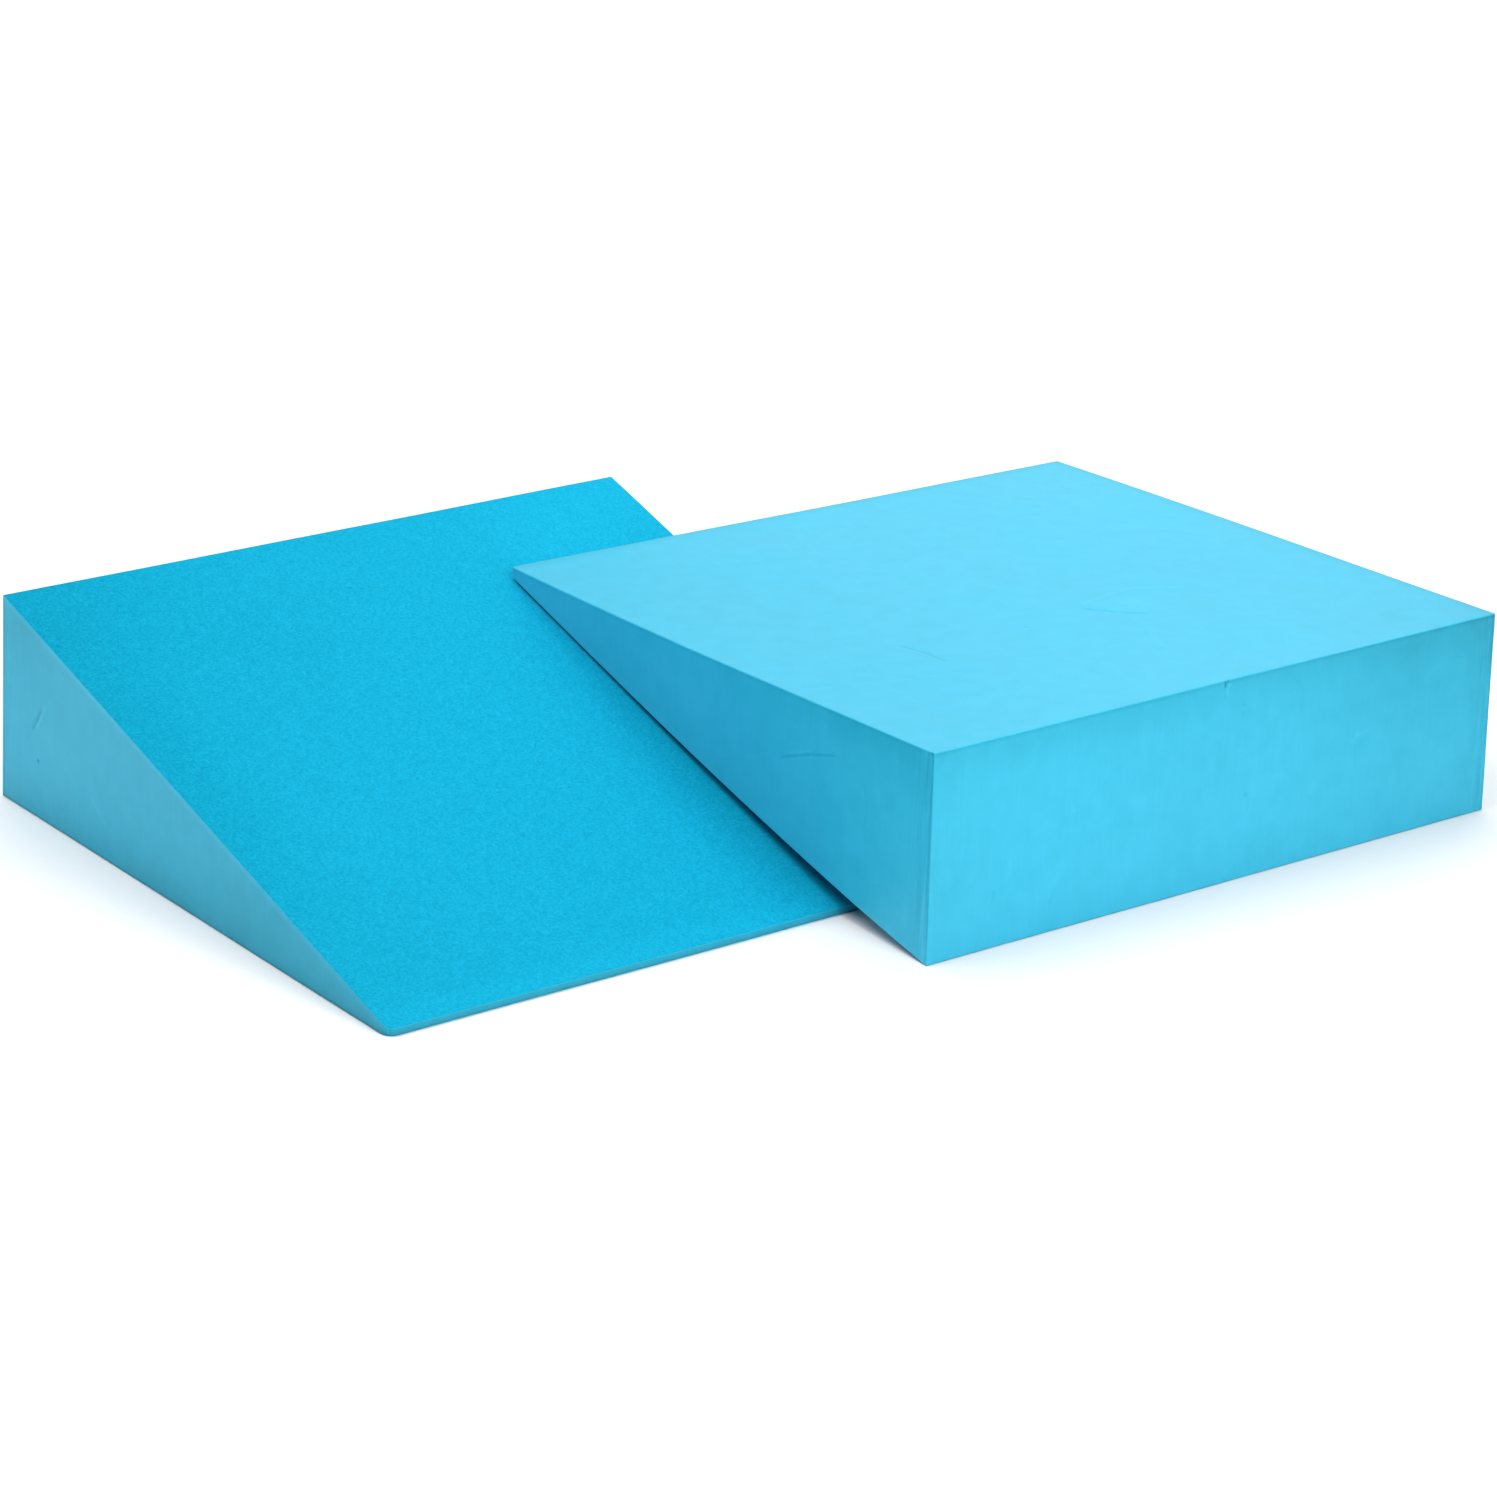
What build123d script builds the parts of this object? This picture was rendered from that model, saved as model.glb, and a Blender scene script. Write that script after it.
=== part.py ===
"""A pair of solid foam exercise wedges: one stands slope up, and its twin is turned over and leans on it."""
from build123d import *

import math
import os

# Driving dimensions of one wedge, in millimetres. Both wedges are the same block.
WEDGE_WIDTH = 280.0
WEDGE_RUN = 250.0
WEDGE_HEIGHT = 80.0
LIP_THICKNESS = 3.6
EDGE_RADIUS = 0.6
LIP_CORNER_RADIUS = 4.0

# How the upper wedge lies against the lower one, in millimetres and degrees.
UPPER_SHIFT = 195.5
UPPER_OVERHANG = 51.2
UPPER_YAW = -0.3
TIP_ROOM = 0.5

# Worked out from the dimensions above.
RISE = WEDGE_HEIGHT - LIP_THICKNESS
SLOPE_ANGLE = math.atan2(RISE, WEDGE_RUN)
SLOPE_LENGTH = math.hypot(RISE, WEDGE_RUN)


def wedge():
    """One wedge with its thin edge along X at the front, its thick end at the back and its base at Z 0."""
    with BuildPart() as block:
        with BuildSketch(Plane.YZ):
            Polygon(
                (0, 0),
                (WEDGE_RUN, 0),
                (WEDGE_RUN, WEDGE_HEIGHT),
                (0, LIP_THICKNESS),
                align=None,
            )
        extrude(amount=WEDGE_WIDTH)
        lip_corners = block.edges().filter_by(Axis.Z).group_by(Axis.Y)[0]
        fillet(lip_corners, radius=LIP_CORNER_RADIUS)
        fillet(block.edges(), radius=EDGE_RADIUS)
    return block.part


def turned_over(block):
    """The same wedge base up, thick end at the front, with the thick end's lower edge along X through the origin."""
    return Pos(0, WEDGE_RUN, WEDGE_HEIGHT) * Rot(180, 0, 0) * block


def leaning_tilt():
    """Degrees that the turned-over wedge tips down at its thin edge, to leave TIP_ROOM over the lower slope.

    The two slopes are parallel before it tips. The gap between them is then what the overhang adds less the
    lip's thickness, both measured square to the slope. Settling on the floor takes up part of TIP_ROOM.
    """
    gap = UPPER_OVERHANG * math.sin(SLOPE_ANGLE) - LIP_THICKNESS * math.cos(SLOPE_ANGLE)
    return math.degrees(math.asin((gap - TIP_ROOM) / SLOPE_LENGTH))


def leaning(block):
    """The upper wedge where it rests: lower edge on the floor, thin edge on the lower wedge's slope."""
    place = Pos(UPPER_SHIFT, -UPPER_OVERHANG, 0)
    return place * Rot(0, 0, UPPER_YAW) * Rot(-leaning_tilt(), 0, 0) * turned_over(block)


def seated(shape):
    """The shape moved down by the hair that its rounded lower edge leaves, so that it touches the floor."""
    return Pos(0, 0, -shape.bounding_box().min.Z) * shape


def centred(shapes):
    """Both wedges moved together, so that the origin is under the middle of their common outline."""
    low, high = (shape.bounding_box() for shape in shapes.values())
    middle = low.add(high).center()
    return {name: Pos(-middle.X, -middle.Y, 0) * shape for name, shape in shapes.items()}


def main():
    os.makedirs("parts", exist_ok=True)
    block = wedge()
    wedges = {"lower_wedge": block, "upper_wedge": seated(leaning(block))}
    for node, shape in centred(wedges).items():
        export_step(shape, f"parts/{node}.step")


main()
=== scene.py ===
import math
from collections import namedtuple

import bmesh
import bpy
import numpy as np
from mathutils import Matrix, Vector, noise


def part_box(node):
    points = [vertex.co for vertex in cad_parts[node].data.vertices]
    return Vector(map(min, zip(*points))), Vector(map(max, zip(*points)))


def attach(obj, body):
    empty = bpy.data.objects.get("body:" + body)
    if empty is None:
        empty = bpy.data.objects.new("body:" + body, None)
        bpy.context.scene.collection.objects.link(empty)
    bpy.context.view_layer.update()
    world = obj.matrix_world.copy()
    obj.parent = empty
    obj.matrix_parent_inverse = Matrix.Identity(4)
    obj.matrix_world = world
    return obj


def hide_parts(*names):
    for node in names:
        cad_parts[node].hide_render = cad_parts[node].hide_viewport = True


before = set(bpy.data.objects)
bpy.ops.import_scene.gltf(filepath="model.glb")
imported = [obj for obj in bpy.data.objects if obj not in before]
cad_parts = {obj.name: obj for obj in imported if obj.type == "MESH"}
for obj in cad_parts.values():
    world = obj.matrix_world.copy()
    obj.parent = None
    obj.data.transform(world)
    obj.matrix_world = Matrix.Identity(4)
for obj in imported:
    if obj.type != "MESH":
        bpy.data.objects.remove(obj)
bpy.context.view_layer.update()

MM = 0.001

# One wedge, in metres, as the CAD part has it: thin lip at the front, thick end at the back, base down.
WIDTH = 0.280
RUN = 0.250
HEIGHT = 0.080
EDGE_RADIUS = 0.0006

# The two blocks differ a little where they are thin: lip height, and the rounding of its corners in plan.
Block = namedtuple("Block", "lip corner_radius seed")
LOWER_BLOCK = Block(lip=0.0032, corner_radius=0.0045, seed=1.7)
UPPER_BLOCK = Block(lip=0.0043, corner_radius=0.0012, seed=8.9)

# How the upper block leans, in degrees. Its thick end's lower edge is where the CAD has it.
CAD_YAW = -0.3
UPPER_YAW = -0.27
UPPER_TILT = 2.836

# How the upper block has bent, in metres: its thin end curls up at its left and droops at its right,
# and its underside bows out, most towards the thick end. The curl starts at this share of the run from
# the thin end. Its right side isn't quite square: it flares out towards the underside.
CURL_LEFT = 0.00252
CURL_RIGHT = -0.00075
CURL_START = 0.6
UNDERSIDE_BOW = 0.0021
BOW_SKEW = 0.7
FLARE = 0.0011

# How far the lower block's top edge is under its nominal height at its left and right, in metres, and the
# power of the distance from the lip with which the slope falls off to it.
LOW_LEFT = 0.0003
LOW_RIGHT = 0.0016
LOW_POWER = 4

# Mesh spacing, in metres: between grid lines, then of the lines beside the side edges and of the rows
# beside the upper and lower edges. Where the wedge is lower than ROWS_NEED times the last row, its rows
# draw together.
GRID_STEP = 0.0024
EDGE_LINES = np.array([0, 0.12, 0.28, 0.44, 0.6, 1.0, 1.6, 2.4, 3.4, 4.6]) * MM
EDGE_ROWS = np.array([0, 0.15, 0.3, 0.45, 0.6, 0.9, 1.25, 1.7, 2.4]) * MM
ROWS_NEED = 2.2
HEIGHT_ROWS = 26
MARK_CUTS = 4

# How far the faces sink between their edges and how near an edge that begins, in metres, and the share
# of it on the base and slope. Then how uneven all faces are, over what length, and how far apart in the
# noise a block's seed takes it along each axis.
HOLLOW = 0.0004
HOLLOW_REACH = 0.012
FLAT_FACE_SHARE = 0.4
UNEVENNESS = 0.00016
UNEVEN_SCALE = 0.075
SEED_STEPS = (1, 2.3, 5.1)

# Colours, linear, and how strongly the two finishes mirror.
SKIN_BLUE = (0.034, 0.464, 0.676)
CUT_BLUE = (0.0052, 0.344, 0.540)
SKIN_IOR = 1.5
SKIN_GLOSS = 0.25
CUT_GLOSS = 0.02

# The foam is deeper blue where it is darker: its red changes with this power of the brightness.
RED_POWER = 3

# The grain: noise scales in cycles per metre, how far each changes the colour, and the height of the bumps.
SKIN_CLOUDS, SKIN_CLOUD_TONE = 22, 0.05
SKIN_MOTTLE, SKIN_MOTTLE_TONE = 130, 0.07
SKIN_FINE, SKIN_FINE_TONE = 900, 0.015
SKIN_BUMP = 0.00003
SKIN_ROUGHNESS = (0.40, 0.52)
CUT_CLOUDS, CUT_CLOUD_TONE = 14, 0.03
CUT_MOTTLE, CUT_MOTTLE_TONE = 240, 0.07
CUT_CELLS, CUT_CELL_TONE = 900, 0.38
CUT_BUMP = 0.00015
CUT_ROUGHNESS = (0.80, 0.95)

# The saw's upright streaks: how strongly they show at most, the share of that which shows everywhere, their
# scale across and how much longer they are than wide.
STREAK_TONE = 0.45
STREAK_REST = 0.07
STREAK_SCALE = 800
STREAK_STRETCH = (1, 1, 0.04)

# How quickly a face's own lines and patches fade out round its edges.
FACE_FADE = 8

# The camera: the point it looks at, from the lower wedge's front left corner, and its own place, in
# metres and degrees.
CAMERA_TARGET = Vector((0.2309, 0.0959, 0.0247))
CAMERA_AZIMUTH = 39.935
CAMERA_ELEVATION = 21.72
CAMERA_ROLL = 3.45
CAMERA_DISTANCE = 1.9172
CAMERA_LENS = 122.8
SENSOR_WIDTH = 36
CLIP_NEAR, CLIP_FAR = 0.05, 100

# The softboxes: name, azimuth, elevation, distance, size and power, in degrees, metres and watts.
SOFTBOXES = [
    ("back", 0, 40, 0.9, 0.6, 2.2),
    ("back_right", 50, 22, 1.2, 0.8, 2.1),
    ("back_right_high", 50, 65, 1.1, 0.6, 2.7),
    ("right", 90, 40, 0.9, 0.6, 1.4),
    ("front", 185, 35, 1.0, 0.6, 6.4),
    ("left_high", 270, 65, 1.1, 0.6, 5.4),
    ("back_left", 320, 20, 1.2, 0.8, 2.7),
]

# The light from all around, and how pale the surroundings look to the camera beyond the floor.
SURROUNDINGS = 0.15
HORIZON = 0.97

# The floor: half its side, its paleness and gloss, and its own glow, which keeps it white where the
# softboxes don't reach. The two radii are where the glow starts and where it is full.
FLOOR_REACH = 30.0
FLOOR_WHITE = (0.90, 0.90, 0.90, 1)
FLOOR_ROUGHNESS = 0.9
FLOOR_GLOSS = 0.1
FAR_GLOW = 0.83
FAR_GLOW_START = 0.5
FAR_GLOW_FULL = 1.3


# ---------------------------------------------------------------- marks in the foam, and painted shade and highlights

# The faces, as the directions that they look in.
BASE = np.array([0, 0, -1])
END = np.array([0, 1, 0])
LIP = np.array([0, -1, 0])
LEFT = np.array([-1, 0, 0])
RIGHT = np.array([1, 0, 0])
SLOPE = np.array([0, -HEIGHT, RUN]) / math.hypot(HEIGHT, RUN)

# A mark runs from start to end, and width is how far it reaches to each side. Depth is how far it sinks, or
# stands out where it is below zero. Tone is how much darker, below zero, or paler it is. Where a sunk mark
# is darker, that is partly painted shade in the dent.
Mark = namedtuple("Mark", "start end width depth tone")

# A line along an edge, darker or paler than the rest of its face. Where face is the sum of two faces,
# the line goes round the edge between them. For streaks, tone is how strongly they show.
Line = namedtuple("Line", "face start end width tone")

# A darker or paler patch of one face: its centre, and its reach along the wedge's three axes.
Patch = namedtuple("Patch", "face centre reach tone")
ALL = 10.0

# Everything that one block shows of its making and wear, and the painted shade and painted highlights among
# its lines and patches.
Looks = namedtuple("Looks", "marks lines streaks patches")


# Places on the wedge's faces, in millimetres across it from its left side, along it from its thin end, and
# up from its base.

def on_base(across, along):
    return np.array([across * MM, along * MM, 0])


def on_end(across, up):
    """On the thick end."""
    return np.array([across * MM, RUN, up * MM])


def on_left(along, up):
    return np.array([0, along * MM, up * MM])


def on_slope(across, along):
    return np.array([across * MM, along * MM, along * MM * HEIGHT / RUN])


def pit(centre, width, depth, tone=0.0):
    return Mark(centre, centre, width * MM, depth * MM, tone)


def crease(points, width, depth, tone=0.0):
    """A line of marks through the points."""
    return [Mark(start, end, width * MM, depth * MM, tone) for start, end in zip(points, points[1:])]


def edge_line(face, start, end, width, tone):
    return Line(face, start, end, width * MM, tone)


def base_patch(across, along, reach_across, reach_along, tone):
    return Patch(BASE, on_base(across, along), np.array([reach_across * MM, reach_along * MM, ALL]), tone)


def end_patch(across, up, reach_across, reach_up, tone):
    return Patch(END, on_end(across, up), np.array([reach_across * MM, ALL, reach_up * MM]), tone)


def left_patch(along, up, reach_along, reach_up, tone):
    return Patch(LEFT, on_left(along, up), np.array([ALL, reach_along * MM, reach_up * MM]), tone)


def slope_patch(across, along, reach_across, reach_along, tone):
    return Patch(SLOPE, on_slope(across, along), np.array([reach_across * MM, reach_along * MM, ALL]), tone)


# The turned-over block. On its thick end: a nick in the upper edge with a pale drip under it, small pits,
# a pale crescent, and pale and dark specks. On its base: creases, pale arcs and a long scratch. On its
# left side: a pit by the corner and fine scratches.
# The dark tone of the nick, the sunk pits and the sunk creases is partly painted shade in them.
UPPER_MARKS = [
    *crease([on_end(139.1, 0.6), on_end(139.1, 2.2)], 0.45, 0.5, -0.45),
    pit(on_end(140.6, 0.3), 0.5, 0.5, -0.40),
    pit(on_end(140.9, 1.7), 0.65, -0.15, 0.25),
    *crease([on_end(139.9, 3.1), on_end(140.2, 4.9)], 0.6, -0.10, 0.12),
    pit(on_end(149, 11.2), 0.5, 0.3, -0.18),
    pit(on_end(149, 12.6), 0.6, -0.05, 0.12),
    pit(on_end(149, 13.9), 0.5, 0.2, -0.14),
    *crease([on_end(206.7, 37), on_end(209.7, 35.1), on_end(214.9, 34.6)], 0.9, 0.05, 0.07),
    *crease([on_end(208.4, 39), on_end(209.3, 49)], 0.8, 0.05, -0.04),
    pit(on_end(152.3, 46.9), 0.8, 0.4, -0.12),
    *crease([on_end(152, 49), on_end(151.6, 53)], 0.7, -0.05, 0.06),
    pit(on_end(155.9, 47.8), 0.7, -0.05, 0.06),
    pit(on_end(67.5, 35.2), 1.0, -0.05, 0.06),
    *crease([on_end(30.5, 58.5), on_end(30, 62.5)], 0.7, 0.25, -0.07),
    *crease([on_end(58.5, 66), on_end(57, 68.5)], 0.7, 0.25, -0.06),
    *crease([on_end(37.3, 48), on_end(37.7, 54)], 0.8, -0.05, 0.04),
    *crease([on_end(184.5, 10), on_end(184.2, 19)], 0.8, 0.05, -0.03),
    *crease([on_end(179, 11), on_end(178.8, 20)], 0.8, 0.05, -0.03),
    *crease([on_base(153.5, 157.5), on_base(159.9, 165.7), on_base(169, 175)], 1.1, 0.32, -0.04),
    *crease(
        [on_base(155.7, 153), on_base(172, 150), on_base(186, 149), on_base(202, 159)], 1.3, -0.12, 0.02
    ),
    *crease([on_base(162.3, 174.7), on_base(156.1, 190.8), on_base(146, 208)], 1.5, -0.14, 0.02),
    *crease([on_base(66.9, 153), on_base(69.2, 163.2), on_base(69, 175)], 0.9, 0.24, -0.03),
    *crease([on_base(6.8, 170.1), on_base(30, 177.5), on_base(56, 184.5)], 0.8, 0.08, 0.02),
    pit(on_base(120, 162), 1.2, 0.2),
    pit(on_left(248.0, 0.9), 1.0, 0.6, -0.10),
    *crease([on_left(212, 22), on_left(214, 34)], 0.7, 0.12, -0.03),
    *crease([on_left(166, 25.3), on_left(180.4, 20.5), on_left(195.5, 16.8)], 0.5, 0.18, -0.10),
    *crease([on_left(168, 23.4), on_left(182, 18.9)], 0.5, -0.08, 0.06),
]

# The block that stands slope up: a slanting scratch, a pinhole and faint pale scuffs on its left side,
# and a dark speck on its slope.
# The dark tone of the scratch and the pinhole is partly painted shade in them.
LOWER_MARKS = [
    *crease([on_left(223.3, 42.6), on_left(226, 38.2), on_left(228.6, 34.2)], 0.7, 0.32, -0.13),
    *crease([on_left(228.6, 34.2), on_left(231.5, 29)], 0.6, 0.12, -0.04),
    *crease([on_left(219.6, 45), on_left(222.6, 40), on_left(225, 36)], 0.7, -0.18, 0.08),
    pit(on_left(225.2, 22.4), 0.5, 0.8, -0.65),
    *crease([on_left(187.5, 20.4), on_left(183.3, 17.2), on_left(178.5, 13.8)], 0.9, -0.06, 0.05),
    pit(on_slope(131.1, 216.2), 0.8, 0.3, -0.30),
]

# Edges that are darker or paler than the faces beside them.
UPPER_LINES = [
    # Painted shade: a darker band along the thick end's top edge, where less sheen reaches.
    edge_line(END, on_end(0, 0), on_end(280, 0), 1.3, -0.15),
    # Painted shadow where the thick end meets the floor.
    edge_line(END + SLOPE, on_end(0, 80), on_end(280, 80), 0.9, -0.22),
    edge_line(END + RIGHT, on_end(280, 0), on_end(280, 80), 0.9, -0.22),
    edge_line(LEFT, on_left(0, 0), on_left(250, 0), 1.2, -0.10),
    edge_line(LEFT, on_left(249.4, 0), on_left(249.4, 80), 0.9, -0.12),
    # A painted highlight: a pale line along the left side's lower rim.
    edge_line(LEFT, on_left(0, 4.0), on_left(250, 79.7), 0.35, 0.10),
    edge_line(BASE, on_base(0, 0), on_base(280, 0), 3.5, -0.10),
    edge_line(BASE, on_base(280, 0), on_base(280, 250), 3.5, -0.10),
]
LOWER_LINES = [
    # Painted shade: the left side darker along its foot.
    edge_line(LEFT, on_left(0, 0), on_left(250, 0), 1.4, -0.14),
    # Painted shadow where the left side meets the floor.
    edge_line(LEFT + BASE, on_left(0, 0), on_left(250, 0), 0.9, -0.22),
    edge_line(LEFT, on_left(250, 0), on_left(250, 80), 2.0, -0.10),
    edge_line(LEFT + END, on_left(250, 0), on_left(250, 80), 0.9, -0.16),
    # A pale line under the slope's edge, partly pale edge wear and partly painted highlight.
    edge_line(LEFT, on_left(0, 1.9), on_left(250, 78.7), 0.6, 0.10),
    edge_line(END + SLOPE, on_slope(0, 250), on_slope(280, 250), 1.2, -0.20),
    # Painted shade: the low lip is darker down to the floor.
    edge_line(LIP, on_slope(0, 0), on_slope(280, 0), 8.0, -0.30),
    # Painted shadow where the lip meets the floor.
    edge_line(LIP + BASE, on_base(0, 0), on_base(280, 0), 0.9, -0.28),
    # A painted highlight along the lip's upper edge.
    edge_line(LIP + SLOPE, on_slope(0, 0), on_slope(280, 0), 0.8, 0.08),
]

# Where the saw's streaks show more than elsewhere: beside the thick end's upright edges.
UPPER_STREAKS = [
    edge_line(LEFT, on_left(248, 0), on_left(248, 80), 6.0, 0.6),
    edge_line(END, on_end(278, 0), on_end(278, 80), 5.0, 0.4),
]
LOWER_STREAKS = [
    edge_line(LEFT, on_left(250, 0), on_left(250, 80), 6.0, 0.25),
]

# Where a face is a little darker or paler than its neighbourhood.
UPPER_PATCHES = [
    # Painted shade and painted sheen: the base, which faces up, is darker at its left and paler at its
    # right towards the thin end.
    base_patch(0, 125, 90, 400, -0.075),
    base_patch(280, 60, 95, 110, 0.05),
    base_patch(275, 250, 35, 25, -0.06),
    base_patch(0, 10, 70, 60, -0.03),
    base_patch(245, 229, 6, 5, -0.06),
    base_patch(221, 240, 5, 3, -0.05),
    base_patch(172, 162, 14, 10, 0.03),
    # Painted shade: a darker band along the thick end's top edge.
    end_patch(150, 0, 400, 10, -0.11),
    # Painted shade: the thick end darker towards its right end, most near its top edge.
    end_patch(280, 0, 75, 15, -0.10),
    end_patch(280, 15, 22, 24, -0.06),
    end_patch(280, 45, 13, 60, -0.08),
    end_patch(235, 22, 35, 20, -0.08),
    end_patch(235, 18, 55, 28, -0.03),
    end_patch(237, 7, 6, 6, -0.04),
    end_patch(140, 60, 80, 30, 0.05),
    end_patch(60, 66, 50, 14, 0.02),
    end_patch(150.5, 24, 5, 4, -0.03),
    end_patch(231.5, 49, 4, 5, -0.04),
    end_patch(56.7, 38.6, 4, 3, 0.03),
    end_patch(101.7, 38.5, 9, 4, 0.03),
    # Painted shade along the thick end's top edge.
    end_patch(50, 8, 60, 8, -0.03),
    end_patch(0, 20, 16, 40, -0.04),
    left_patch(125, 0, 400, 8, -0.04),
    left_patch(235, 2, 40, 5, -0.06),
    left_patch(248, 14, 10, 8, -0.05),
    left_patch(235, 8, 25, 8, -0.05),
    left_patch(40, 8, 70, 30, 0.05),
    left_patch(50, 16, 35, 12, -0.07),
    left_patch(215, 68, 25, 14, -0.04),
    left_patch(210, 3, 35, 9, -0.05),
]
LOWER_PATCHES = [
    # Painted shade and light: the slope is darker at its left and back left, and paler in its middle and at
    # its back right, as the light falls across it.
    slope_patch(0, 245, 70, 70, -0.11),
    slope_patch(0, 130, 26, 110, -0.10),
    slope_patch(150, 130, 50, 150, 0.025),
    slope_patch(230, 212, 50, 30, 0.08),
    # A painted shadow of the upper block, beside where it stands on the slope.
    slope_patch(198, 75, 22, 110, -0.12),
    slope_patch(270, 245, 60, 30, 0.11),
    # A painted highlight: a pale strip on the slope just above the lip.
    slope_patch(140, 4, 400, 5, 0.06),
    left_patch(205, 27, 26, 14, 0.05),
    # Painted shade: the left side darker low down, towards the floor.
    left_patch(80, 15, 40, 14, -0.09),
    left_patch(150, 4, 65, 10, -0.07),
    left_patch(130, 3, 14, 6, -0.05),
    left_patch(235, 66, 22, 16, -0.08),
    left_patch(237, 74, 12, 8, -0.08),
    # Painted shade: the left side darker low down at the thin end and along its whole foot.
    left_patch(0, 0, 60, 30, -0.13),
    left_patch(125, 0, 400, 9, -0.10),
]

UPPER_LOOKS = Looks(UPPER_MARKS, UPPER_LINES, UPPER_STREAKS, UPPER_PATCHES)
LOWER_LOOKS = Looks(LOWER_MARKS, LOWER_LINES, LOWER_STREAKS, LOWER_PATCHES)


# ---------------------------------------------------------------- the wedge's mesh

def slope_of(block):
    return (HEIGHT - block.lip) / RUN


def lines_along(length):
    """Grid lines along one side: close together at both ends, for the rounded edges, and even between."""
    count = round(length / GRID_STEP)
    inner = np.linspace(EDGE_LINES[-1], length - EDGE_LINES[-1], count + 1)[1:-1]
    return np.concatenate([EDGE_LINES, inner, (length - EDGE_LINES)[::-1]])


def rows_up(height_there, row, row_count):
    """Height of each grid row, where the slope is at height_there. Low down, the rows draw together."""
    edge = len(EDGE_ROWS)
    squeeze = np.minimum(1, height_there / (ROWS_NEED * EDGE_ROWS[-1]))
    from_top = row_count - 1 - row
    low = squeeze * EDGE_ROWS[np.minimum(row, edge - 1)]
    high = height_there - squeeze * EDGE_ROWS[np.minimum(from_top, edge - 1)]
    share = np.clip((row - edge + 1) / (row_count - 2 * edge + 1), 0, 1)
    start = squeeze * EDGE_ROWS[-1]
    middle = start + share * (height_there - 2 * start)
    return np.where(row < edge, low, np.where(from_top < edge, high, middle))


def surface_quads(number):
    """The quads of the grid's six sides, wound outwards, and which of them lie on the slope."""
    def quads(sheet, flip):
        a, b, c, d = sheet[:-1, :-1], sheet[1:, :-1], sheet[1:, 1:], sheet[:-1, 1:]
        order = (a, d, c, b) if flip else (a, b, c, d)
        return np.stack([corner.ravel() for corner in order], axis=1)

    sides = [
        quads(number[:, :, 0], True),
        quads(number[:, 0, :], False),
        quads(number[:, -1, :], True),
        quads(number[0, :, :], True),
        quads(number[-1, :, :], False),
    ]
    slope = quads(number[:, :, -1], False)
    faces = np.concatenate([*sides, slope])
    is_slope = np.arange(len(faces)) >= len(faces) - len(slope)
    return faces, is_slope


def sharp_wedge(name, block):
    """The mesh of the wedge with sharp edges, as a grid. The slope's quads have material 1."""
    across, along = lines_along(WIDTH), lines_along(RUN)
    row_count = HEIGHT_ROWS + 2 * len(EDGE_ROWS)
    number = np.full((len(across), len(along), row_count), -1)
    shell = np.ones(number.shape, bool)
    shell[1:-1, 1:-1, 1:-1] = False
    number[shell] = np.arange(shell.sum())
    column, line, row = np.nonzero(shell)
    x, y = across[column], along[line]
    points = np.stack([x, y, rows_up(block.lip + slope_of(block) * y, row, row_count)], axis=1)
    faces, is_slope = surface_quads(number)
    mesh = bpy.data.meshes.new(name)
    mesh.from_pydata(points.tolist(), [], faces.tolist())
    mesh.polygons.foreach_set("material_index", is_slope.astype(np.int32))
    return mesh


def distance_to(mark, points):
    """How far each point is from the mark's line."""
    along = mark.end - mark.start
    share = np.zeros(len(points))
    if along.any():
        share = np.clip((points - mark.start) @ along / (along @ along), 0, 1)
    return np.linalg.norm(points - mark.start - share[:, None] * along, axis=1)


def refine_near(mesh, marks):
    """Divides the mesh finely around the marks, so that their shape has points to be in."""
    shape = bmesh.new()
    shape.from_mesh(mesh)
    centres = np.array([edge.verts[0].co / 2 + edge.verts[1].co / 2 for edge in shape.edges])
    near = np.zeros(len(centres), bool)
    for mark in marks:
        near |= distance_to(mark, centres) < 2 * mark.width + GRID_STEP
    marked_edges = [edge for edge, wanted in zip(shape.edges, near) if wanted]
    chosen = [edge for edge in marked_edges if edge.calc_length() > EDGE_RADIUS]
    bmesh.ops.subdivide_edges(shape, edges=chosen, cuts=MARK_CUTS, use_grid_fill=True)
    shape.to_mesh(mesh)
    shape.free()


def read_points(mesh):
    points = np.empty(len(mesh.vertices) * 3)
    mesh.vertices.foreach_get("co", points)
    return points.reshape(-1, 3)


def write_points(mesh, points):
    mesh.vertices.foreach_set("co", points.ravel())
    mesh.update()


# ---------------------------------------------------------------- rounding

def nearest_in_core(block, y, z):
    """The nearest point of the side outline pulled in by the edge radius, or the point if it is inside."""
    slope = slope_of(block)
    down = EDGE_RADIUS * math.hypot(1, slope)
    front, back, floor = EDGE_RADIUS, RUN - EDGE_RADIUS, EDGE_RADIUS
    corners = [
        (front, floor),
        (back, floor),
        (back, block.lip + slope * back - down),
        (front, block.lip + slope * front - down),
    ]
    points = np.stack([y, z], axis=1)
    best = np.full(len(points), np.inf)
    nearest = np.zeros_like(points)
    inside = np.ones(len(points), bool)
    for start, end in zip(corners, corners[1:] + corners[:1]):
        start, end = np.array(start), np.array(end)
        along = end - start
        inside &= (points - start) @ (-along[1], along[0]) >= 0
        share = np.clip((points - start) @ along / (along @ along), 0, 1)
        on_side = start + share[:, None] * along
        distance = np.linalg.norm(points - on_side, axis=1)
        closer = distance < best
        best = np.where(closer, distance, best)
        nearest[closer] = on_side[closer]
    return np.where(inside[:, None], points, nearest)


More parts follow.
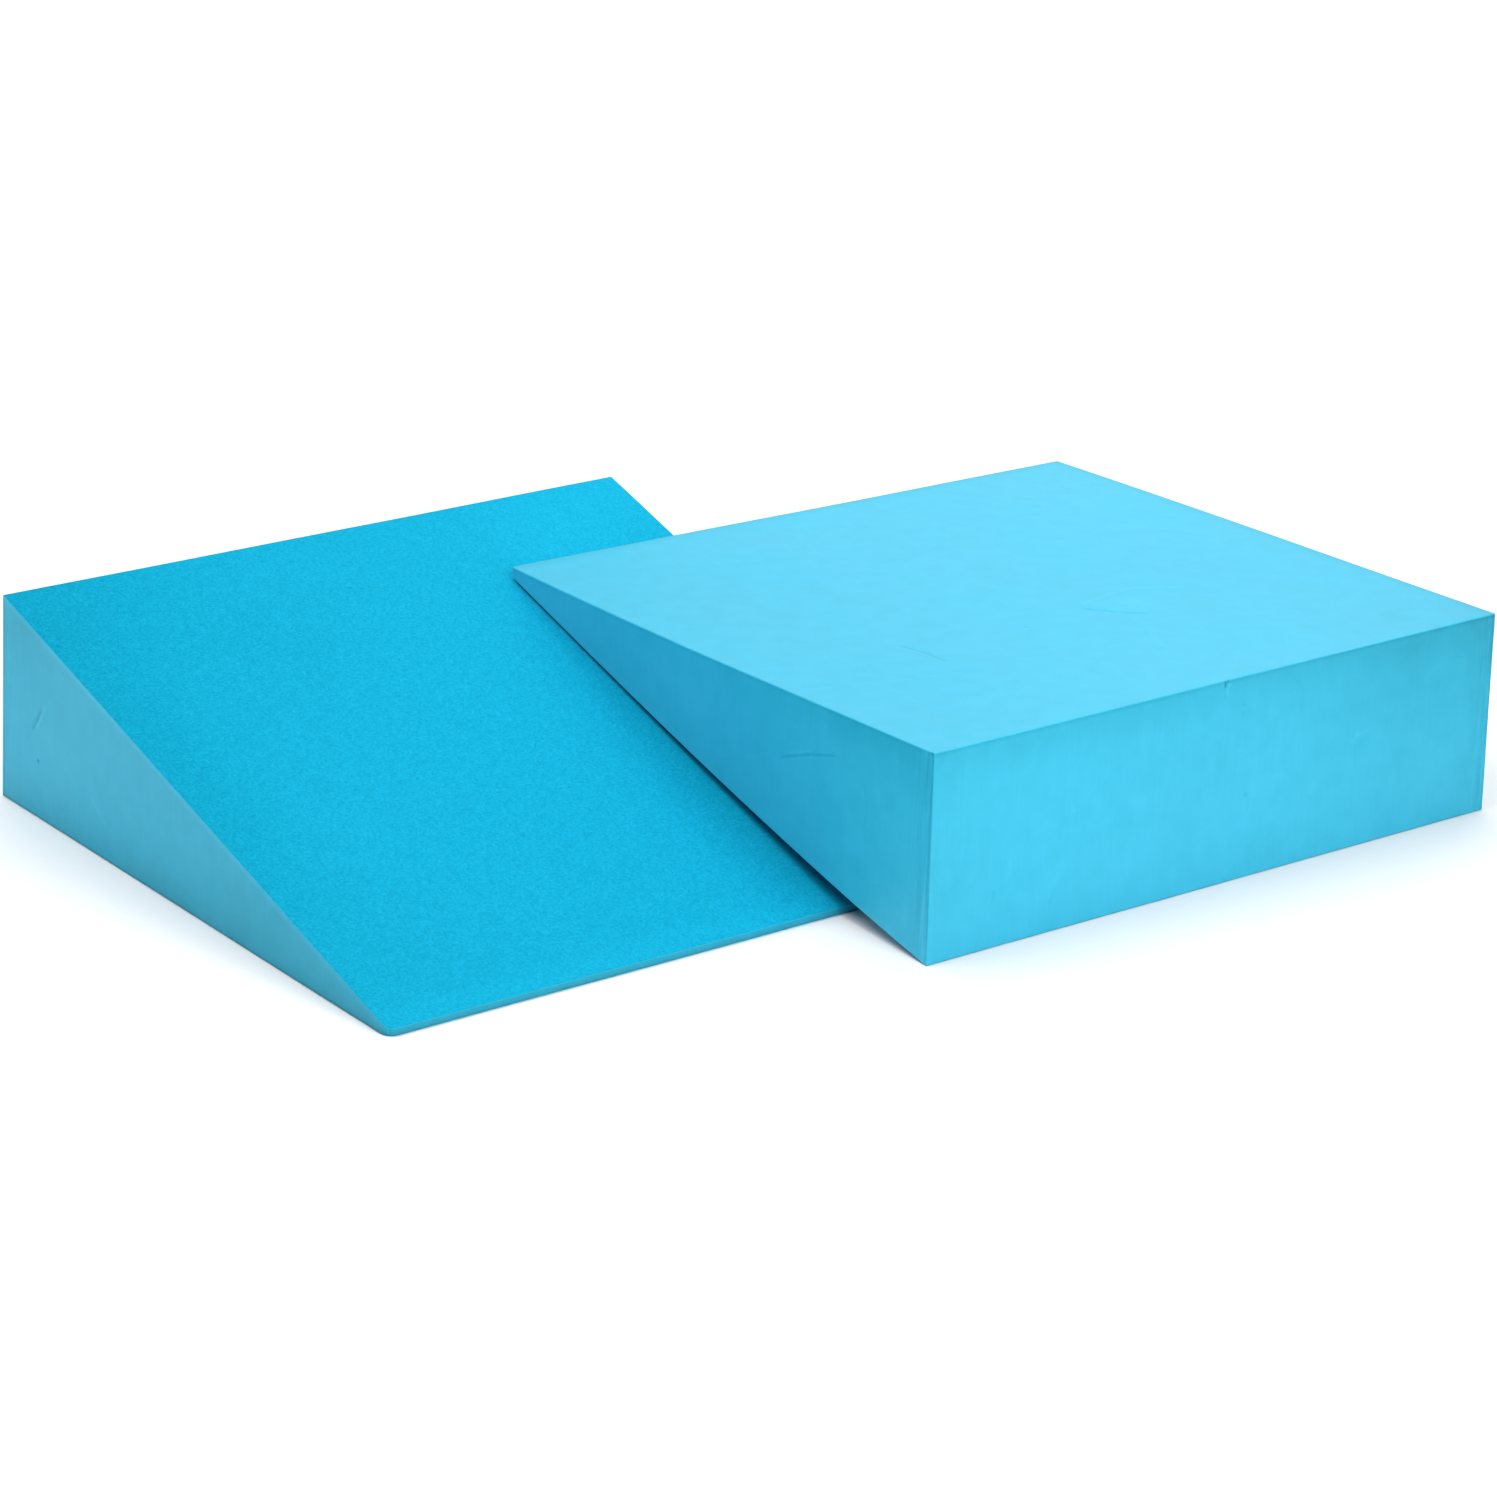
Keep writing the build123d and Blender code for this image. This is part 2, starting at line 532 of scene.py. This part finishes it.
def round_edges(block, points):
    """Moves points of the sharp wedge onto the one with rounded edges, and gives their outward normals."""
    core = np.empty_like(points)
    core[:, 0] = np.clip(points[:, 0], EDGE_RADIUS, WIDTH - EDGE_RADIUS)
    core[:, 1:] = nearest_in_core(block, points[:, 1], points[:, 2])
    outward = points - core
    normals = outward / np.linalg.norm(outward, axis=1)[:, None]
    return core + EDGE_RADIUS * normals, normals


def round_lip_corners(block, points):
    """Rounds the thin lip's two plan corners, by drawing each square ring of points into an arc."""
    radius = block.corner_radius
    mirrored = points[:, 0] > WIDTH / 2
    across = np.where(mirrored, WIDTH - points[:, 0], points[:, 0])
    inside = (across < radius) & (points[:, 1] < radius)
    left, front = radius - across[inside], radius - points[inside, 1]
    shrink = np.maximum(left, front) / np.maximum(np.hypot(left, front), 1e-9)
    across[inside] = radius - left * shrink
    rounded = points.copy()
    rounded[:, 0] = np.where(mirrored, WIDTH - across, across)
    rounded[inside, 1] = radius - front * shrink
    return rounded


# ---------------------------------------------------------------- the foam's own shape

def settling(distance):
    """0 at an edge, rising to 1 well inside the face."""
    return 1 - np.exp(-np.maximum(distance, 0) / HOLLOW_REACH)


def hollow(block, points, normals):
    """Every face sinks a little between its edges, as cut foam does."""
    x, y, z = points.T
    slope = slope_of(block)
    top = (block.lip + slope * y - z) / math.hypot(1, slope)
    sides = settling(x) * settling(WIDTH - x)
    ends = settling(y) * settling(RUN - y)
    caps = settling(z) * settling(top)
    upright = np.abs(normals[:, 2])
    sideways = np.abs(normals[:, 0])
    lengthways = np.clip(1 - upright - sideways, 0, 1)
    depth = sideways * ends * caps + lengthways * sides * caps + FLAT_FACE_SHARE * upright * sides * ends
    return points - normals * (HOLLOW * depth)[:, None]


def uneven(block, points, normals):
    """A slow unevenness over all faces, as no cut is quite flat."""
    shift = Vector([block.seed * step for step in SEED_STEPS])
    level = np.array([noise.noise(Vector(p) / UNEVEN_SCALE + shift) for p in points])
    return points + normals * (UNEVENNESS * level)[:, None]


def marked(points, normals, marks, places):
    """Sinks each mark into the surface, where places are the points before the foam's other changes."""
    sunk = np.zeros(len(points))
    for mark in marks:
        hole = mark.depth * np.exp(-((distance_to(mark, places) / mark.width) ** 2))
        sunk = np.where(np.abs(hole) > np.abs(sunk), hole, sunk)
    return points - normals * sunk[:, None]


def settled(block, points):
    """The lower block as it stands: its top edge a little low, most at its right, and its base flat."""
    low = LOW_LEFT + (LOW_RIGHT - LOW_LEFT) * points[:, 0] / WIDTH
    shape = points.copy()
    shape[:, 2] *= 1 - low / HEIGHT * np.clip(points[:, 1] / RUN, 0, 1) ** LOW_POWER
    shape[:, 2] = np.maximum(shape[:, 2], 0)
    return shape


def bent(block, points):
    """The upper block's bend. It is base up, so that up is towards -Z here."""
    across, along = points[:, 0] / WIDTH, points[:, 1] / RUN
    through = np.clip(points[:, 2] / (block.lip + slope_of(block) * points[:, 1]), 0, 1)
    bow = UNDERSIDE_BOW * 4 * along * (1 - along) * (1 + BOW_SKEW * (2 * along - 1))
    curl = CURL_LEFT + (CURL_RIGHT - CURL_LEFT) * across
    reach = np.clip(1 - along / CURL_START, 0, 1) ** 2
    shape = points.copy()
    shape[:, 2] += bow * through - curl * reach
    shape[:, 0] += FLARE * across * through
    return shape


def belongs(face, normals):
    """How much each point belongs to a face: 1 on it, falling to 0 round its edges."""
    return np.clip(normals @ face, 0, 1) ** FACE_FADE


def along_line(line, points, normals):
    """The line's tone at each point: all of it on the line, fading out over its width."""
    near = np.exp(-((distance_to(line, points) / line.width) ** 2))
    return line.tone * near * belongs(line.face, normals)


def tones(points, normals, looks):
    """How much darker or paler each point is painted: the foam's own marks and stains, and painted shade
    and painted highlights on its edges and faces.
    """
    tone = np.zeros(len(points))
    for mark in looks.marks:
        tone += mark.tone * np.exp(-((distance_to(mark, points) / mark.width) ** 2))
    for line in looks.lines:
        tone += along_line(line, points, normals)
    for patch in looks.patches:
        away = (points - patch.centre) / patch.reach
        tone += patch.tone * np.exp(-(away**2).sum(axis=1)) * belongs(patch.face, normals)
    return tone


def streaked(points, normals, looks):
    """How strongly the upright streaks show at each point: not at all where the foam faces up or down."""
    strength = np.full(len(points), STREAK_REST)
    for line in looks.streaks:
        strength += along_line(line, points, normals)
    return strength * (1 - np.abs(normals[:, 2]))


def paint(mesh, name, values):
    """Gives the mesh a value at each point that its materials read."""
    mesh.attributes.new(name, "FLOAT", "POINT").data.foreach_set("value", values)


# ---------------------------------------------------------------- materials

def new_material(name):
    material = bpy.data.materials.new(name)
    material.use_nodes = True
    nodes = material.node_tree.nodes
    nodes.clear()
    shader = nodes.new("ShaderNodeBsdfPrincipled")
    output = nodes.new("ShaderNodeOutputMaterial")
    material.node_tree.links.new(shader.outputs[0], output.inputs[0])
    return material, nodes, material.node_tree.links, shader


def noise_node(nodes, links, source, scale, detail=2.0, roughness=0.5):
    node = nodes.new("ShaderNodeTexNoise")
    node.inputs["Scale"].default_value = scale
    node.inputs["Detail"].default_value = detail
    node.inputs["Roughness"].default_value = roughness
    links.new(source, node.inputs["Vector"])
    return node.outputs["Fac"]


def spread(nodes, links, source, low, high):
    """The value, which is between 0 and 1, mapped to low to high."""
    node = nodes.new("ShaderNodeMapRange")
    node.inputs["To Min"].default_value = low
    node.inputs["To Max"].default_value = high
    links.new(source, node.inputs["Value"])
    return node.outputs["Result"]


def around_one(nodes, links, source, tone):
    """The value mapped to a brightness that is up to tone darker or paler than 1."""
    return spread(nodes, links, source, 1 - tone, 1 + tone)


def combine(nodes, links, operation, first, second):
    node = nodes.new("ShaderNodeMath")
    node.operation = operation
    links.new(first, node.inputs[0])
    links.new(second, node.inputs[1])
    return node.outputs[0]


def shaded(nodes, links, colour, brightness):
    """The colour times a brightness that varies over the surface. Its red falls faster than the rest."""
    red = nodes.new("ShaderNodeMath")
    red.operation = "POWER"
    red.inputs[1].default_value = RED_POWER
    links.new(brightness, red.inputs[0])
    channels = nodes.new("ShaderNodeCombineXYZ")
    for channel, value in zip(channels.inputs, (red.outputs[0], brightness, brightness)):
        links.new(value, channel)
    return scaled(nodes, links, channels.outputs[0], colour)


def bump(nodes, links, height, distance):
    node = nodes.new("ShaderNodeBump")
    node.inputs["Strength"].default_value = 1
    node.inputs["Distance"].default_value = distance
    links.new(height, node.inputs["Height"])
    return node.outputs["Normal"]


def object_position(nodes):
    return nodes.new("ShaderNodeTexCoord").outputs["Object"]


def painted(nodes, name):
    """A value that paint() gave the mesh."""
    node = nodes.new("ShaderNodeAttribute")
    node.attribute_name = name
    return node.outputs["Fac"]


def scaled(nodes, links, vector, scale):
    """The vector with each part scaled by its own factor."""
    node = nodes.new("ShaderNodeVectorMath")
    node.operation = "MULTIPLY"
    node.inputs[1].default_value = scale
    links.new(vector, node.inputs[0])
    return node.outputs[0]


def skin_material():
    """Closed smooth skin: faint clouds in the colour and gloss, and a very fine dimpling."""
    material, nodes, links, shader = new_material("foam_skin")
    place = object_position(nodes)
    clouds = noise_node(nodes, links, place, SKIN_CLOUDS, detail=3)
    mottle = noise_node(nodes, links, place, SKIN_MOTTLE, detail=3)
    fine = noise_node(nodes, links, place, SKIN_FINE)
    upright = noise_node(nodes, links, scaled(nodes, links, place, STREAK_STRETCH), STREAK_SCALE)
    tone = combine(nodes, links, "MULTIPLY", around_one(nodes, links, clouds, SKIN_CLOUD_TONE),
                   around_one(nodes, links, mottle, SKIN_MOTTLE_TONE))
    tone = combine(nodes, links, "MULTIPLY", tone, around_one(nodes, links, fine, SKIN_FINE_TONE))
    # The painted tone holds the foam's marks and stains, and painted shade and painted highlights.
    tone = combine(nodes, links, "ADD", tone, painted(nodes, "tone"))
    streaks = combine(nodes, links, "MULTIPLY", spread(nodes, links, upright, -STREAK_TONE, STREAK_TONE),
                      painted(nodes, "streaks"))
    tone = combine(nodes, links, "ADD", tone, streaks)
    links.new(shaded(nodes, links, SKIN_BLUE, tone), shader.inputs["Base Color"])
    links.new(spread(nodes, links, clouds, *SKIN_ROUGHNESS), shader.inputs["Roughness"])
    links.new(bump(nodes, links, fine, SKIN_BUMP), shader.inputs["Normal"])
    shader.inputs["IOR"].default_value = SKIN_IOR
    shader.inputs["Specular IOR Level"].default_value = SKIN_GLOSS
    return material


def cut_material():
    """The cut slope: open cells under a millimetre across, matt."""
    material, nodes, links, shader = new_material("foam_cut")
    place = object_position(nodes)
    cells = noise_node(nodes, links, place, CUT_CELLS, detail=2.5, roughness=0.7)
    mottle = noise_node(nodes, links, place, CUT_MOTTLE)
    clouds = noise_node(nodes, links, place, CUT_CLOUDS, detail=3)
    tone = combine(nodes, links, "MULTIPLY", around_one(nodes, links, cells, CUT_CELL_TONE),
                   around_one(nodes, links, mottle, CUT_MOTTLE_TONE))
    tone = combine(nodes, links, "MULTIPLY", tone, around_one(nodes, links, clouds, CUT_CLOUD_TONE))
    # The painted tone holds the foam's marks and stains, and painted shade and painted highlights.
    tone = combine(nodes, links, "ADD", tone, painted(nodes, "tone"))
    links.new(shaded(nodes, links, CUT_BLUE, tone), shader.inputs["Base Color"])
    links.new(spread(nodes, links, cells, *CUT_ROUGHNESS), shader.inputs["Roughness"])
    links.new(bump(nodes, links, cells, CUT_BUMP), shader.inputs["Normal"])
    shader.inputs["Specular IOR Level"].default_value = CUT_GLOSS
    return material


# ---------------------------------------------------------------- the two pieces

def lower_place():
    """The lower wedge's own frame in the row frame: its front left corner on the floor."""
    low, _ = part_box("lower_wedge")
    return Matrix.Translation((low.x, low.y, 0))


def upper_place():
    """The upper wedge's own frame in the row frame: turned over, and leaning on the lower one's slope."""
    low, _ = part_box("upper_wedge")
    edge = Vector((low.x, low.y - WIDTH * math.sin(math.radians(CAD_YAW)), 0))
    over = Matrix.Translation((0, RUN, HEIGHT)) @ Matrix.Rotation(math.pi, 4, "X")
    lean = Matrix.Rotation(math.radians(-UPPER_TILT), 4, "X")
    yaw = Matrix.Rotation(math.radians(UPPER_YAW), 4, "Z")
    return Matrix.Translation(edge) @ yaw @ lean @ over


def stand_on_floor(mesh):
    """Moves the mesh up or down until its lowest point is on the floor."""
    points = read_points(mesh)
    points[:, 2] -= points[:, 2].min()
    write_points(mesh, points)


def foam_piece(name, block, looks, pose, place, materials):
    """One block of foam: its grid refined at the marks, then rounded, shaped, marked and put in place."""
    mesh = sharp_wedge(name, block)
    refine_near(mesh, looks.marks)
    places, normals = round_edges(block, read_points(mesh))
    points = round_lip_corners(block, places)
    points = uneven(block, hollow(block, points, normals), normals)
    points = marked(points, normals, looks.marks, places)
    write_points(mesh, pose(block, points))
    # The tone holds painted shade and highlights as well as the foam's own marks and stains.
    paint(mesh, "tone", tones(places, normals, looks))
    paint(mesh, "streaks", streaked(places, normals, looks))
    mesh.polygons.foreach_set("use_smooth", np.ones(len(mesh.polygons), bool))
    for material in materials:
        mesh.materials.append(material)
    mesh.transform(place)
    stand_on_floor(mesh)
    piece = bpy.data.objects.new(name, mesh)
    bpy.context.scene.collection.objects.link(piece)
    return piece


def build_wedges():
    materials = [skin_material(), cut_material()]
    lower = foam_piece("lower_foam", LOWER_BLOCK, LOWER_LOOKS, settled, lower_place(), materials)
    upper = foam_piece("upper_foam", UPPER_BLOCK, UPPER_LOOKS, bent, upper_place(), materials)
    for piece, body, node in ((lower, "lower", "lower_wedge"), (upper, "upper", "upper_wedge")):
        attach(piece, body)
        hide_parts(node)


# ---------------------------------------------------------------- studio

def floor_material():
    """A pale floor that glows further out, where the softboxes don't reach."""
    material, nodes, links, shader = new_material("studio_white")
    shader.inputs["Base Color"].default_value = FLOOR_WHITE
    shader.inputs["Roughness"].default_value = FLOOR_ROUGHNESS
    shader.inputs["Specular IOR Level"].default_value = FLOOR_GLOSS
    shader.inputs["Emission Color"].default_value = (1, 1, 1, 1)
    radius = nodes.new("ShaderNodeVectorMath")
    radius.operation = "LENGTH"
    links.new(object_position(nodes), radius.inputs[0])
    glow = nodes.new("ShaderNodeMapRange")
    glow.interpolation_type = "SMOOTHSTEP"
    glow.inputs["From Min"].default_value = FAR_GLOW_START
    glow.inputs["From Max"].default_value = FAR_GLOW_FULL
    glow.inputs["To Min"].default_value = 0
    glow.inputs["To Max"].default_value = FAR_GLOW
    links.new(radius.outputs["Value"], glow.inputs["Value"])
    links.new(glow.outputs["Result"], shader.inputs["Emission Strength"])
    return material


def add_floor():
    mesh = bpy.data.meshes.new("studio_floor")
    corners = [(x * FLOOR_REACH, y * FLOOR_REACH, 0) for x, y in ((-1, -1), (1, -1), (1, 1), (-1, 1))]
    mesh.from_pydata(corners, [], [(0, 1, 2, 3)])
    mesh.materials.append(floor_material())
    floor = bpy.data.objects.new("studio_floor", mesh)
    bpy.context.scene.collection.objects.link(floor)


def add_softbox(name, azimuth, elevation, distance, size, power):
    """A square area light that points at the object. Azimuth 0 is towards +Y, and 90 towards +X."""
    turn, rise = math.radians(azimuth), math.radians(elevation)
    towards = Vector((math.sin(turn) * math.cos(rise), math.cos(turn) * math.cos(rise), math.sin(rise)))
    light = bpy.data.lights.new(name, "AREA")
    light.size = size
    light.energy = power
    lamp = bpy.data.objects.new(name, light)
    lamp.location = towards * distance
    lamp.rotation_mode = "QUATERNION"
    lamp.rotation_quaternion = towards.to_track_quat("Z", "Y")
    lamp.visible_camera = False
    bpy.context.scene.collection.objects.link(lamp)


def add_world():
    """Even light from all around, which itself looks as pale as the far floor."""
    world = bpy.data.worlds.new("studio")
    world.use_nodes = True
    nodes, links = world.node_tree.nodes, world.node_tree.links
    background = nodes["Background"]
    background.inputs["Color"].default_value = (1, 1, 1, 1)
    seen = nodes.new("ShaderNodeLightPath").outputs["Is Camera Ray"]
    links.new(spread(nodes, links, seen, SURROUNDINGS, HORIZON), background.inputs["Strength"])
    bpy.context.scene.world = world


def add_camera():
    camera = bpy.data.cameras.new("camera")
    camera.lens = CAMERA_LENS
    camera.sensor_width = SENSOR_WIDTH
    camera.clip_start, camera.clip_end = CLIP_NEAR, CLIP_FAR
    azimuth, elevation = math.radians(CAMERA_AZIMUTH), math.radians(CAMERA_ELEVATION)
    forward = Vector((
        math.sin(azimuth) * math.cos(elevation),
        math.cos(azimuth) * math.cos(elevation),
        -math.sin(elevation),
    ))
    holder = bpy.data.objects.new("camera", camera)
    holder.location = lower_place() @ CAMERA_TARGET - forward * CAMERA_DISTANCE
    holder.rotation_mode = "QUATERNION"
    level = forward.to_track_quat("-Z", "Y")
    roll = Matrix.Rotation(math.radians(CAMERA_ROLL), 3, "Z").to_quaternion()
    holder.rotation_quaternion = level @ roll
    bpy.context.scene.collection.objects.link(holder)
    bpy.context.scene.camera = holder


def build_studio():
    add_floor()
    add_world()
    for softbox in SOFTBOXES:
        add_softbox(*softbox)
    add_camera()
    bpy.context.scene.view_settings.view_transform = "Standard"


build_wedges()
build_studio()
